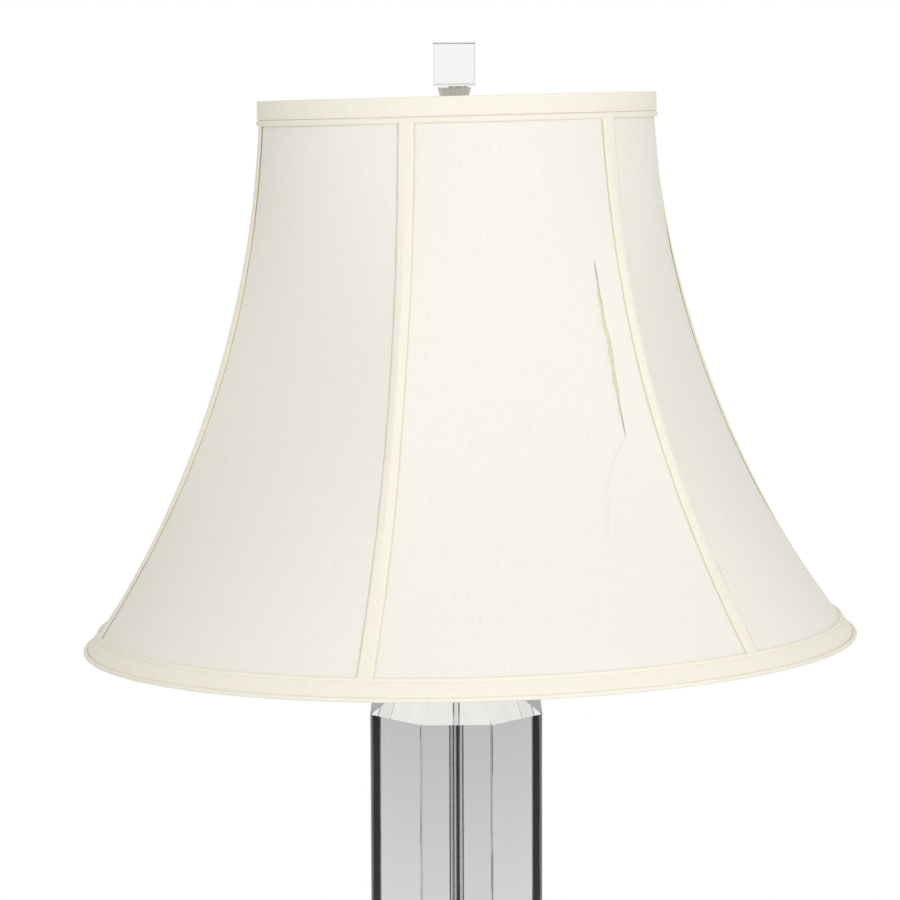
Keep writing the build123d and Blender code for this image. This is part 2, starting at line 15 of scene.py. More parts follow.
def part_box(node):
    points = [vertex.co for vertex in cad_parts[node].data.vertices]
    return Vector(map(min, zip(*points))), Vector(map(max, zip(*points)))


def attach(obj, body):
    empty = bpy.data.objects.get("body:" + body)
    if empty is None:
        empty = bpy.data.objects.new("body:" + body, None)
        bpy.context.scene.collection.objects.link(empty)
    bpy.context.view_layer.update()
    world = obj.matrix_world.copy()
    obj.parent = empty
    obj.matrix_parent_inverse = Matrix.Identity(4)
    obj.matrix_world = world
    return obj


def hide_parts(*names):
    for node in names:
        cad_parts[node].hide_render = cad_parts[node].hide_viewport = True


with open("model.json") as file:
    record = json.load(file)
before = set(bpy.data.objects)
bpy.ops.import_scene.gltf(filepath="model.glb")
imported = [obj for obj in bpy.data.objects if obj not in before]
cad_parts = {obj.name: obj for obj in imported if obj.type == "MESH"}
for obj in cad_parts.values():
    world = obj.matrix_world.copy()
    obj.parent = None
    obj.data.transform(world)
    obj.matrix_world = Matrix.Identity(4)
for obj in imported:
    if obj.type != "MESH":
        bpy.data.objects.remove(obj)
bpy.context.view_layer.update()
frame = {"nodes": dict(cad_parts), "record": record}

# %% [markdown]
# The picture was taken from about two metres away with a long lens, so the column's sides stay
# parallel. The camera stands a little above the middle of the shade and looks slightly down, and the
# lower half of the lamp is out of the picture. Turning a camera by a matrix keeps the tilt and the
# small roll apart: first the roll about its own axis, then the tilt.

# %% Camera
CAMERA_PLACE = Vector((-0.0032, -2.082, 0.8162))
CAMERA_TILT = math.radians(8.04)
CAMERA_ROLL = math.radians(-0.19)
CAMERA_LENS_MM = 142.03

scene = bpy.context.scene
camera = bpy.data.objects.new("camera", bpy.data.cameras.new("camera"))
camera.data.lens = CAMERA_LENS_MM
turn = Matrix.Rotation(math.pi / 2 - CAMERA_TILT, 4, "X") @ Matrix.Rotation(CAMERA_ROLL, 4, "Z")
camera.matrix_world = Matrix.Translation(CAMERA_PLACE) @ turn
scene.collection.objects.link(camera)
scene.camera = camera
scene.view_settings.view_transform = "Standard"
print("camera:", CAMERA_LENS_MM, "mm lens at", tuple(CAMERA_PLACE))

# %% [markdown]
# Finishes are small trees of shader nodes. Two helpers keep them short: one adds a node and either
# links or sets each of its sockets, the other starts a material with its plain values on the shader.
# Colours are written as they look on a screen, from 0 to 255, and turned into light values.


# %% Helpers for finishes
def seen(red, green, blue):
    """A colour as it looks on a screen, as light values from 0 to 1."""
    shares = [value / 255 for value in (red, green, blue)]
    return tuple(s / 12.92 if s <= 0.04045 else ((s + 0.055) / 1.055) ** 2.4 for s in shares)


def scaled(tone, by):
    """A colour made lighter or darker by one factor."""
    return tuple(by * value for value in tone)


def add(tree, kind, sockets=None, **settings):
    """Add a shader node. A socket given another node's output is linked, anything else is its value."""
    node = tree.nodes.new("ShaderNode" + kind)
    for name, value in settings.items():
        setattr(node, name, value)
    for name, value in (sockets or {}).items():
        if isinstance(value, bpy.types.NodeSocket):
            tree.links.new(value, node.inputs[name])
        else:
            node.inputs[name].default_value = value
    return node


def start_finish(name, colour, roughness, metallic=0.0):
    """A new material with its plain values set, and its tree and shader to build on."""
    material = bpy.data.materials.new(name)
    material.use_nodes = True
    tree = material.node_tree
    shader = tree.nodes["Principled BSDF"]
    shader.inputs["Base Color"].default_value = (*colour, 1)
    shader.inputs["Roughness"].default_value = roughness
    shader.inputs["Metallic"].default_value = metallic
    return material, tree, shader


def noise_on(tree, vector, size, detail=3.0):
    """Noise whose lumps are about one size across, in metres."""
    return add(tree, "TexNoise", {"Vector": vector, "Scale": 1 / size, "Detail": detail}).outputs["Fac"]


def spread(tree, value, low, high, floor=0.3, ceiling=0.7):
    """Stretch a value that runs from floor to ceiling so that it runs from low to high."""
    node = add(tree, "MapRange", {"Value": value, "From Min": floor, "From Max": ceiling,
                                  "To Min": low, "To Max": high})
    return node.outputs["Result"]


def tint(tree, factor, colour, other):
    """A colour that drifts from one tone to another with a factor."""
    node = add(tree, "Mix", {"Factor": factor}, data_type="RGBA")
    ends = [socket for socket in node.inputs if socket.type == "RGBA"]
    for socket, tone in zip(ends, (colour, other)):
        if isinstance(tone, bpy.types.NodeSocket):
            tree.links.new(tone, socket)
        else:
            socket.default_value = (*tone, 1)
    return next(socket for socket in node.outputs if socket.type == "RGBA")


def bump(tree, shader, height, depth, strength):
    """Relief on a finish, as deep as depth in metres."""
    node = add(tree, "Bump", {"Height": height, "Distance": depth, "Strength": strength})
    tree.links.new(node.outputs["Normal"], shader.inputs["Normal"])


def reckon(tree, kind, *values):
    """The result of one Math node."""
    return add(tree, "Math", dict(enumerate(values)), operation=kind).outputs["Value"]


def between(tree, value, ends, fade):
    """1 where a value lies between two ends and 0 beyond them, with a soft step inside each end."""
    rise = spread(tree, value, 0.0, 1.0, ends[0], ends[0] + fade)
    fall = spread(tree, value, 1.0, 0.0, ends[1] - fade, ends[1])
    return reckon(tree, "MULTIPLY", rise, fall)


def without(tree, value, part):
    """A value lessened where another one is near 1."""
    return reckon(tree, "MULTIPLY", value, reckon(tree, "SUBTRACT", 1.0, part))


def stretched(tree, vector, scale, turn_by=0.0):
    """Coordinates scaled, and turned about Z, before a pattern reads them."""
    node = add(tree, "Mapping", {"Vector": vector, "Scale": scale, "Rotation": (0, 0, turn_by)})
    return node.outputs["Vector"]


def own_place(tree):
    """A point's place in metres."""
    return add(tree, "TexCoord").outputs["Object"]


def ray_kinds(tree):
    """What kind of ray looks at a point, and 1 where it comes from a mirror or through glass."""
    ray = add(tree, "LightPath").outputs
    return ray, reckon(tree, "MAXIMUM", ray["Is Glossy Ray"], ray["Is Transmission Ray"])


print("helpers ready")

# %% [markdown]
# The studio is a white sweep. The camera sees plain white, and mirrors and glass see the sweep as a
# photographer's studio has it: white at eye level, greyer where the wall meets the table, and with
# a dark gap low down on the camera's side. That gap is what draws the dark bands down the column's
# edges, because light that enters there is turned back inside the crystal, and the pipe mirrors it as
# a dark core. A bright window to the left of the camera splits that core with one pale line, and the
# middle of the gap is paler, where the camera stands. Two dark boards, one on each side and a little
# behind the lamp, draw the thin lines down the bore. A ray's direction has length 1, so its x says how
# far to the side it points, its y how far back and its z how far up. Each dark part is a range of them.

# %% Studio
FILL_LEVEL = 0.705
FILL_TONE = (1.0, 0.988, 0.935, 1)
SWEEP = ((-0.40, 0.78), (-0.27, 0.72), (-0.21, 0.55), (-0.14, 0.78), (-0.05, 0.98), (0.30, 1.0))
DARK_LEVEL = 0.03
DARK_HEIGHTS = (-0.30, -0.155)
HEIGHT_FADE = 0.035
SIDE_FADE = 0.03
GAP_SIDES = (-0.92, 0.84)
WINDOW_SIDES = (-0.54, -0.20)
MIDDLE_SIDES = (-0.12, 0.12)
MIDDLE_PALE = 0.22
BOARD_DEPTHS = (0.07, 0.62)

world = bpy.data.worlds.new("studio")
world.use_nodes = True
scene.world = world
tree = world.node_tree
tree.nodes.clear()
way = add(tree, "SeparateXYZ", {"Vector": add(tree, "TexCoord").outputs["Generated"]})
upness = spread(tree, way.outputs["Z"], 0, 1, SWEEP[0][0], SWEEP[-1][0])
levels = add(tree, "ValToRGB", {"Fac": upness})
while len(levels.color_ramp.elements) < len(SWEEP):
    levels.color_ramp.elements.new(0.5)
for stop, (height, level) in zip(levels.color_ramp.elements, SWEEP):
    stop.position = (height - SWEEP[0][0]) / (SWEEP[-1][0] - SWEEP[0][0])
    stop.color = (level, level, level, 1)
side, depth, height = (way.outputs[axis] for axis in "XYZ")
gap = between(tree, side, GAP_SIDES, SIDE_FADE)
gap = without(tree, gap, between(tree, side, WINDOW_SIDES, SIDE_FADE))
middle = between(tree, side, MIDDLE_SIDES, SIDE_FADE)
gap = without(tree, gap, reckon(tree, "MULTIPLY", middle, MIDDLE_PALE))
gap = without(tree, gap, spread(tree, depth, 0.0, 1.0, -SIDE_FADE, 0.0))
dark = reckon(tree, "MAXIMUM", gap, between(tree, depth, BOARD_DEPTHS, SIDE_FADE))
dark = reckon(tree, "MULTIPLY", dark, between(tree, height, DARK_HEIGHTS, HEIGHT_FADE))
sweep = add(tree, "Background", {"Color": tint(tree, dark, levels.outputs["Color"], (DARK_LEVEL,) * 3)})
fill = add(tree, "Background", {"Strength": FILL_LEVEL, "Color": FILL_TONE})
white = add(tree, "Background", {"Strength": 1.0, "Color": (1, 1, 1, 1)})
ray, mirrored = ray_kinds(tree)
inside = add(tree, "MixShader", {0: mirrored, 1: fill.outputs[0], 2: sweep.outputs[0]})
outside = add(tree, "MixShader", {0: ray["Is Camera Ray"], 1: inside.outputs[0], 2: white.outputs[0]})
add(tree, "OutputWorld", {"Surface": outside.outputs[0]})
print("studio: sweep with", len(SWEEP), "levels")

# %% [markdown]
# The object itself is lit by that even fill and by one large soft lamp, a little to the right of the
# camera. The lamp stands behind the sweep, so mirrors and glass don't show it.

# %% Key lamp
KEY_LEVEL = 0.352
KEY_DISTANCE = 2.6
KEY_SIDE = math.radians(11)
KEY_HEIGHT = math.radians(8)
KEY_SIZE = 1.3
KEY_TONE = (0.945, 0.95, 1.0)
LAMP_MIDDLE = Vector((0, 0, 0.5))

key = bpy.data.objects.new("key_lamp", bpy.data.lights.new("key_lamp", "AREA"))
key.data.size = KEY_SIZE
key.data.color = KEY_TONE
key.data.energy = KEY_LEVEL * (math.pi * KEY_DISTANCE) ** 2
ahead = Vector((math.sin(KEY_SIDE) * math.cos(KEY_HEIGHT), -math.cos(KEY_SIDE) * math.cos(KEY_HEIGHT),
                math.sin(KEY_HEIGHT)))
facing = ahead.to_track_quat("Z", "Y").to_matrix().to_4x4()
key.matrix_world = Matrix.Translation(LAMP_MIDDLE + ahead * KEY_DISTANCE) @ facing
key.visible_glossy = False
key.visible_transmission = False
scene.collection.objects.link(key)
print("key lamp:", round(key.data.energy, 1), "W")

# %% [markdown]
# The floor is a pale disc that fades into the white round it, so that no edge shows. Only the camera,
# mirrors and glass see its added glow; the shadow under the lamp stays, because the disc is lit too.
# From below the disc is clear, so that the underside of the lamp can be looked at.

# %% Floor
FLOOR_RADIUS = 0.85
FLOOR_FADE_STARTS = 0.40
FLOOR_DROP = 0.0004
FLOOR_GLOW = 0.30
FLOOR_TONE = (0.82, 0.82, 0.82)
FLOOR_SIDES = 96

floor_finish, tree, shader = start_finish("pale_floor", FLOOR_TONE, 0.9)
ray, mirrored = ray_kinds(tree)
shown = reckon(tree, "MAXIMUM", mirrored, ray["Is Camera Ray"])
shader.inputs["Emission Color"].default_value = (1, 1, 1, 1)
tree.links.new(reckon(tree, "MULTIPLY", shown, FLOOR_GLOW), shader.inputs["Emission Strength"])
away = add(tree, "VectorMath", {0: own_place(tree)}, operation="LENGTH").outputs["Value"]
solid = spread(tree, away, 1.0, 0.0, FLOOR_FADE_STARTS, FLOOR_RADIUS)
from_above = reckon(tree, "SUBTRACT", 1.0, add(tree, "NewGeometry").outputs["Backfacing"])
tree.links.new(reckon(tree, "MULTIPLY", solid, from_above), shader.inputs["Alpha"])

floor_mesh = bpy.data.meshes.new("floor")
disc = bmesh.new()
bmesh.ops.create_circle(disc, cap_ends=True, segments=FLOOR_SIDES, radius=FLOOR_RADIUS)
bmesh.ops.translate(disc, vec=(0, 0, -FLOOR_DROP), verts=disc.verts)
disc.to_mesh(floor_mesh)
disc.free()
floor_mesh.materials.append(floor_finish)
floor = bpy.data.objects.new("floor", floor_mesh)
scene.collection.objects.link(floor)
print("floor: radius", FLOOR_RADIUS, "m")

# %% [markdown]
# Cut crystal is glass with a high polish. A Principled shader with full transmission bends light as
# glass does, so the dark edges and the bright bevels come from the cutting itself. The column's
# upright corners are taken off with a narrow cut that is ground but not polished, and there the
# colour is painted nearly black, as painted shade, so they show as thin dark lines: the direction
# round the axis, times the number of sides, finds them. The painted shade is uneven along them and
# stops at the bevel. The cube is ground along its top edges, where its colour is painted grey as
# painted shade, and frosted along its foot. Handling leaves a faint film on the faces, which a wide,
# weak noise puts into the roughness.

# %% Crystal
CRYSTAL_IOR = 1.52
CLEAR = (0.965, 0.955, 0.955)
# The ground corners are painted this nearly black colour, as painted shade.
GROUND_SHADE = (0.03, 0.032, 0.032)
GROUND_HALF = 0.00032
CLEAR_CUBE = (0.93, 0.925, 0.925)
# The cube's top edges are painted this grey, as painted shade.
GROUND_CUBE_SHADE = (0.76, 0.765, 0.78)
FROST = 0.6
COLUMN_SIDES = 8
FILM_SIZE = 0.03
FILM_ROUGHNESS = 0.012
GROUND_ROUGHNESS = 0.3
GROUND_SOFT = 0.3
LINE_BREAK_SIZE = 0.012
LINE_BREAK_LEAST = 0.35
LINE_FADE = 0.0006
CUBE_CUT = 0.0010
CUBE_RIM = 0.0012
CUBE_FADE = 0.0004
BEVEL_RISE = 0.018


def clear_crystal(name, tone):
    """Polished crystal, the place that its patterns read and its roughness."""
    material, tree, shader = start_finish(name, tone, 0.0)
    shader.inputs["Transmission Weight"].default_value = 1.0
    shader.inputs["IOR"].default_value = CRYSTAL_IOR
    place = own_place(tree)
    film = spread(tree, noise_on(tree, place, FILM_SIZE), 0.0, FILM_ROUGHNESS, 0.5, 0.75)
    return material, tree, shader, place, film


def grind_and_shade(tree, shader, ground, polish, clear, tone):
    """Roughen crystal where it is ground, and darken it there with painted shade."""
    rough = reckon(tree, "MULTIPLY_ADD", ground, GROUND_ROUGHNESS, polish)
    tree.links.new(rough, shader.inputs["Roughness"])
    tree.links.new(tint(tree, ground, clear, tone), shader.inputs["Base Color"])


def column_crystal(bevel_foot):
    """Crystal with a narrow ground line down each upright corner, painted dark as painted shade, as far up
    as the bevel.
    """
    material, tree, shader, place, polish = clear_crystal("cut_crystal", CLEAR)
    axes = add(tree, "SeparateXYZ", {"Vector": place}).outputs
    turns = reckon(tree, "MULTIPLY", reckon(tree, "ARCTAN2", axes["Y"], axes["X"]), COLUMN_SIDES / math.tau)
    from_corner = reckon(tree, "ABSOLUTE", reckon(tree, "SUBTRACT", reckon(tree, "FRACT", turns), 0.5))
    reach = add(tree, "VectorMath", {0: place, 1: (1, 1, 0)}, operation="MULTIPLY").outputs["Vector"]
    reach = add(tree, "VectorMath", {0: reach}, operation="LENGTH").outputs["Value"]
    beside = reckon(tree, "MULTIPLY", reckon(tree, "MULTIPLY", from_corner, reach), math.tau / COLUMN_SIDES)
    line = spread(tree, beside, 1.0, 0.0, GROUND_HALF * (1 - GROUND_SOFT), GROUND_HALF * (1 + GROUND_SOFT))
    # Noise breaks up the painted shade along each corner.
    line_breaks = noise_on(tree, stretched(tree, place, (1, 1, 0.4)), LINE_BREAK_SIZE)
    shade_share = spread(tree, line_breaks, LINE_BREAK_LEAST, 1.0, 0.40, 0.55)
    below = spread(tree, axes["Z"], 1.0, 0.0, bevel_foot - LINE_FADE, bevel_foot)
    painted_shade_lines = reckon(tree, "MULTIPLY", reckon(tree, "MULTIPLY", line, shade_share), below)
    grind_and_shade(tree, shader, painted_shade_lines, polish, CLEAR, GROUND_SHADE)
    return material


def cube_crystal(foot, top, half):
    """Crystal ground along its top edges, painted grey there as painted shade, and frosted along its foot.
    """
    material, tree, shader, place, polish = clear_crystal("cube_crystal", CLEAR_CUBE)
    axes = add(tree, "SeparateXYZ", {"Vector": place}).outputs
    frosted = spread(tree, axes["Z"], FROST, 0.0, foot + CUBE_RIM - CUBE_FADE, foot + CUBE_RIM)
    upper = spread(tree, axes["Z"], 0.0, 1.0, top - CUBE_CUT, top - CUBE_CUT + CUBE_FADE)
    sides = [reckon(tree, "ABSOLUTE", axes[axis]) for axis in ("X", "Y")]
    reach = reckon(tree, "MAXIMUM", *sides)
    outer = spread(tree, reach, 0.0, 1.0, half - CUBE_RIM, half - CUBE_RIM + CUBE_FADE)
    edge = reckon(tree, "MULTIPLY", upper, outer)
    grind_and_shade(tree, shader, edge, reckon(tree, "ADD", polish, frosted), CLEAR_CUBE, GROUND_CUBE_SHADE)
    return material


crystal_finish = column_crystal(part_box("column")[1].z - BEVEL_RISE)
cube_low, cube_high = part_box("finial_cube")
cube_finish = cube_crystal(cube_low.z, cube_high.z, (cube_high.x - cube_low.x) / 2)
print("crystal: index", CRYSTAL_IOR, "with", COLUMN_SIDES, "sides")

# %% [markdown]
# The lamp has four metals. Chrome on the foot, plate, cap and neck is a mirror with a breath of haze,
# and the finial's cup has a lit copy of it, brighter and bluer, which paints in the brighter light
# that the cup reflects. Nickel on the harp is satin. The wires under the cloth are drawn steel, with
# marks along their length, and the lamp holder is pressed aluminium, with fine rings from the press.
# The pipe inside the column is drawn and then polished, so it mirrors the studio in upright stripes.
# One function makes them all from a colour, a range of roughness, and the size, stretch and depth of
# the marks.

# %% Metals
HAZE_SIZE = 0.02
HAZE_TONE = 0.94
MARK_STRENGTH = 0.25


def metal(name, colour, smooth, dull, mark, scale, depth):
    """A metal whose polish changes between smooth and dull in marks of one size, stretched by a scale."""
    material, tree, shader = start_finish(name, colour, smooth, metallic=1.0)
    place = own_place(tree)
    marks = noise_on(tree, stretched(tree, place, scale), mark)
    haze = noise_on(tree, place, HAZE_SIZE)
    mixed = reckon(tree, "MULTIPLY", marks, haze)
    tree.links.new(spread(tree, mixed, smooth, dull, 0.12, 0.42), shader.inputs["Roughness"])
    tone = tint(tree, haze, colour, scaled(colour, HAZE_TONE))
    tree.links.new(tone, shader.inputs["Base Color"])
    bump(tree, shader, marks, depth, MARK_STRENGTH)
    return material


chrome_finish = metal("polished_chrome", (0.80, 0.81, 0.82), 0.02, 0.08, 0.004, (1, 1, 1), 0.000002)
# A lit copy of the chrome, brighter and bluer, painted in for the brighter light that the cup reflects.
lit_cup_finish = metal("lit_copy_chrome", (0.98, 0.985, 1.0), 0.02, 0.07, 0.003, (1, 1, 1), 0.000004)
nickel_finish = metal("satin_nickel", (0.66, 0.64, 0.60), 0.22, 0.36, 0.001, (1, 1, 0.06), 0.00001)
steel_finish = metal("drawn_steel", (0.58, 0.58, 0.57), 0.25, 0.42, 0.001, (1, 1, 0.1), 0.00002)
aluminium_finish = metal("pressed_aluminium", (0.75, 0.75, 0.76), 0.18, 0.34, 0.0015, (0.05, 0.05, 1),
                         0.00002)
pipe_finish = metal("polished_pipe", (0.84, 0.85, 0.87), 0.02, 0.05, 0.001, (1, 1, 0.05), 0.000002)
print("metals: chrome, nickel, steel and aluminium")

# %% [markdown]
# The small insulating pieces are moulded black plastic and brown vulcanised fibre. Plastic has
# a fine even grain from its mould, and fibre shows short flecks of paper. The bulb is white glass that
# was etched inside, so light spreads in it.


# %% Plastic, fibre and bulb glass
def moulded_plastic():
    """Black plastic with a fine, even grain."""
    material, tree, shader = start_finish("moulded_plastic", (0.03, 0.03, 0.03), 0.4)
    grain = noise_on(tree, own_place(tree), 0.0006)
    tree.links.new(spread(tree, grain, 0.34, 0.52), shader.inputs["Roughness"])
    tone = tint(tree, grain, (0.022, 0.022, 0.022), (0.04, 0.04, 0.041))
    tree.links.new(tone, shader.inputs["Base Color"])
    bump(tree, shader, grain, 0.00005, 0.4)
    return material


def paper_fibre():
    """Brown fibre with short flecks of paper."""
    material, tree, shader = start_finish("paper_fibre", (0.35, 0.27, 0.18), 0.75)
    flecks = noise_on(tree, stretched(tree, own_place(tree), (1, 1, 0.2)), 0.0012, 5.0)
    tone = tint(tree, flecks, (0.25, 0.185, 0.115), (0.42, 0.33, 0.23))
    tree.links.new(tone, shader.inputs["Base Color"])
    bump(tree, shader, flecks, 0.00006, 0.5)
    return material


def etched_glass():
    """White glass that spreads light."""
    material, tree, shader = start_finish("etched_glass", (0.93, 0.93, 0.91), 0.35)
    shader.inputs["Transmission Weight"].default_value = 0.3
    cloud = noise_on(tree, own_place(tree), 0.012)
    tree.links.new(spread(tree, cloud, 0.30, 0.42), shader.inputs["Roughness"])
    tone = tint(tree, cloud, (0.93, 0.93, 0.91), (0.90, 0.90, 0.88))
    tree.links.new(tone, shader.inputs["Base Color"])
    return material


plastic_finish = moulded_plastic()
fibre_finish = paper_fibre()
bulb_finish = etched_glass()
print("plastic, fibre and bulb glass")

# %% [markdown]
# The shade is covered in a plain woven cloth with a few thicker threads, called slubs. The weave is two
# sets of waves that cross at right angles. It reads a UV map in which one unit is one metre of cloth,
# so a thread is as thick on every piece. Where a slub lies, a short stretch of thread is paler or darker.
# Bias tape is the same cloth cut at 45 degrees, so its weave is turned. Its glued edges are painted a
# darker yellow, which is partly yellowed glue and partly painted shade along the folds.

# %% Cloth
WAVE_TURNS = 20 / math.tau
SLUB_WIDTH = 0.0011
CROSS_WIDTH = 0.0009
SLUB_STRETCH = 0.05
FLECK_WIDTH = 0.0014
FLECK_STRETCH = 0.2
PALE_FLECK = 1.025
DARK_FLECK = 0.965
EDGE_STARTS = 0.0008
EDGE_FULL = 0.0003
TAPE_WIDTH = 0.0098
# The tape's edge tone: partly yellowed glue, partly painted shade along the folds.
EDGE_YELLOW_AND_SHADE = seen(238, 230, 199)


def woven_cloth(name, colour, shade, thread, turn_by, depth, sheen, edge=None):
    """Woven cloth with slubs: its two tones, the pitch of its threads and the turn of its weave."""
    material, tree, shader = start_finish(name, colour, 0.85)
    own_weave = add(tree, "UVMap", uv_map="weave").outputs["UV"]
    flat = stretched(tree, own_weave, (1, 1, 1), turn_by)
    waves = [add(tree, "TexWave", {"Vector": flat, "Scale": 1 / (WAVE_TURNS * thread), "Distortion": 0.6,
                                   "Detail": 1.0, "Detail Scale": 0.2}, bands_direction=way).outputs["Fac"]
             for way in ("X", "Y")]
    threads = reckon(tree, "ADD", *waves)
    slubs = noise_on(tree, stretched(tree, flat, (1, SLUB_STRETCH, 1)), SLUB_WIDTH, 4.0)
    cross = noise_on(tree, stretched(tree, flat, (SLUB_STRETCH, 1, 1)), CROSS_WIDTH, 4.0)
    uneven = reckon(tree, "ADD", slubs, cross)
    relief = reckon(tree, "ADD", threads, uneven)
    tone = tint(tree, spread(tree, uneven, 0.0, 1.0, 0.75, 1.25), colour, shade)
    flecks = noise_on(tree, stretched(tree, flat, (1, FLECK_STRETCH, 1)), FLECK_WIDTH, 1.0)
    tone = tint(tree, spread(tree, flecks, 0.0, 1.0, 0.62, 0.74), tone, scaled(colour, PALE_FLECK))
    tone = tint(tree, spread(tree, flecks, 1.0, 0.0, 0.26, 0.36), tone, scaled(shade, DARK_FLECK))
    # The tape's edges are painted a darker yellow: partly yellowed glue, partly painted shade.
    if edge:
        from_middle = reckon(tree, "ABSOLUTE", add(tree, "SeparateXYZ", {"Vector": own_weave}).outputs["X"])
        shade_share = spread(tree, from_middle, 0.0, 1.0, edge - EDGE_STARTS, edge - EDGE_FULL)
        tone = tint(tree, shade_share, tone, EDGE_YELLOW_AND_SHADE)
    tree.links.new(tone, shader.inputs["Base Color"])
    tree.links.new(spread(tree, uneven, 0.78, 0.92, 0.7, 1.3), shader.inputs["Roughness"])
    shader.inputs["Sheen Weight"].default_value = sheen
    shader.inputs["Sheen Roughness"].default_value = 0.45
    bump(tree, shader, relief, depth, 0.3)
    return material


BIAS = math.radians(45)
CREAM = seen(247, 244, 238), seen(245, 242, 235)
IVORY = seen(250, 246, 234), seen(247, 242, 228)
panel_cloth = woven_cloth("panel_cloth", *CREAM, 0.0005, 0.0, 0.00006, 0.1)
trim_cloth = woven_cloth("trim_cloth", *IVORY, 0.0004, BIAS, 0.00006, 0.1)
tape_cloth = woven_cloth("tape_cloth", *IVORY, 0.0004, BIAS, 0.00006, 0.4, edge=TAPE_WIDTH / 2)
lining_cloth = woven_cloth("lining_cloth", *CREAM, 0.0003, 0.0, 0.00003, 0.2)
print("cloth: panel, trim, tape and lining")

# %% [markdown]
# Felt is pressed wool, with no weave. Its fibres lie every way, so two sizes of noise make the nap.


# %% Felt
def pressed_felt():
    """Dark felt with a nap of two sizes."""
    material, tree, shader = start_finish("pressed_felt", (0.02, 0.02, 0.02), 0.95)
    place = own_place(tree)
    nap = noise_on(tree, place, 0.0007, 6.0)
    pile = noise_on(tree, place, 0.004)
    both = reckon(tree, "MULTIPLY", nap, pile)
    tone = tint(tree, spread(tree, both, 0, 1, 0.12, 0.4), (0.012, 0.012, 0.013), (0.045, 0.045, 0.047))
    tree.links.new(tone, shader.inputs["Base Color"])
    shader.inputs["Sheen Weight"].default_value = 0.4
    bump(tree, shader, nap, 0.0003, 0.6)
    return material


felt_finish = pressed_felt()
print("felt")

# %% [markdown]
# Each piece of the frame already names the slot that its finish comes from, so the rigid pieces are
# dressed in one loop. Their meshes are never changed. Three pieces have a finish of their own.

# %% Dress the rigid pieces
FINISHES = {"crystal": crystal_finish, "chrome": chrome_finish, "nickel": nickel_finish,
            "steel": steel_finish, "aluminium": aluminium_finish, "black_plastic": plastic_finish,
            "fibre": fibre_finish, "frosted_glass": bulb_finish, "shade_fabric": panel_cloth,
            "trim_fabric": trim_cloth, "lining_fabric": lining_cloth, "felt": felt_finish}
OWN_FINISHES = {"finial_cube": cube_finish, "finial_cup": lit_cup_finish, "lamp_pipe": pipe_finish}

for part in frame["record"]["subparts"]:
    name = part["node"]
    for place in frame["nodes"][name].material_slots:
        place.material = OWN_FINISHES.get(name, FINISHES[part["material_slot"]])

# %% [markdown]
# The shade is a bell: round at its two rings, with six ribs that each follow one circular bend. Cloth
# pulled tight between two ribs lies flatter than a circle, so each panel is drawn in at mid-height.
# The wire frame was bent by hand: its gores differ in width, it is a little twisted, and it leans on
# the harp. These few rules give any point of the cloth, and the meshes below only ask them.

# %% The shade's form
SHADE_HEIGHT = 0.320
TOP_RADIUS = 0.1143
BOTTOM_RADIUS = 0.2256
RIB_SAG = 0.024
FIRST_RIB = math.radians(-104.9)
GORES = [math.radians(angle) for angle in (60.5, 54.0, 60.2, 60.2, 60.2, 64.9)]
RIB_COUNT = len(GORES)
TWIST = math.radians(1.5)
PANEL_BOW = 0.30
SPIDER_DROP = 0.012
LEAN_BACK = math.radians(2.57)
LEAN_LEFT = math.radians(1.25)
SHADE_SHIFT = 0.0015
SEAT = 0.0002

CHORD = math.hypot(BOTTOM_RADIUS - TOP_RADIUS, SHADE_HEIGHT)
RIB_BEND = CHORD ** 2 / (8 * RIB_SAG) + RIB_SAG / 2
BEND_RADIUS = (BOTTOM_RADIUS + TOP_RADIUS) / 2 + (RIB_BEND - RIB_SAG) * SHADE_HEIGHT / CHORD
BEND_HEIGHT = SHADE_HEIGHT / 2 + (RIB_BEND - RIB_SAG) * (BOTTOM_RADIUS - TOP_RADIUS) / CHORD
HUB_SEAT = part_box("spider_hub")[0].z
LEAN = (Matrix.Translation((0, 0, HUB_SEAT)) @ Matrix.Rotation(-LEAN_BACK, 4, "X")
        @ Matrix.Rotation(-LEAN_LEFT, 4, "Y")
        @ Matrix.Translation((SHADE_SHIFT, 0, SPIDER_DROP - SHADE_HEIGHT)))


def rib_radius(height, inset=0.0):
    """Radius of the ribs' bend, or of a bend that lies inside it by the inset."""
    return BEND_RADIUS - math.sqrt((RIB_BEND + inset) ** 2 - (height - BEND_HEIGHT) ** 2)


def rib_angle(number, height):
    """Direction of a rib at a height above the shade's bottom edge."""
    return FIRST_RIB + sum(GORES[:number]) + TWIST * (height / SHADE_HEIGHT - 0.5)


def panel_arc(number, height, inset=0.0):
    """The arc of a panel at a height: its middle direction, reach, radius and half angle."""
    start = rib_angle(number, height)
    end = rib_angle(number + 1, height)
    half = (end - start) / 2
    radius = rib_radius(height, inset)
    drawn_in = (1 - PANEL_BOW) * math.sin(math.pi * height / SHADE_HEIGHT) ** 2
    bulge = (1 - math.cos(half)) * (radius - rib_radius(height) * drawn_in)
    half_chord = radius * math.sin(half)
    bend = (half_chord ** 2 + bulge ** 2) / (2 * bulge)
    return (start + end) / 2, radius * math.cos(half) + bulge, bend, math.asin(min(1.0, half_chord / bend))


def panel_width(number, height):
    """Width of a panel's cloth at a height, along its arc."""
    bend, half = panel_arc(number, height)[2:]
    return 2 * bend * half


def panel_point(number, across, height, inset=0.0, lift=0.0):
    """A point of a panel, from 0 across at one rib to 1 at the next, lifted outwards off the cloth."""
    middle, reach, bend, half = panel_arc(number, height, inset)
    swing = half * (2 * across - 1)
    out = reach - bend + (bend + lift) * math.cos(swing)
    side = (bend + lift) * math.sin(swing)
    return Vector((out * math.cos(middle) - side * math.sin(middle),
                   out * math.sin(middle) + side * math.cos(middle), height))


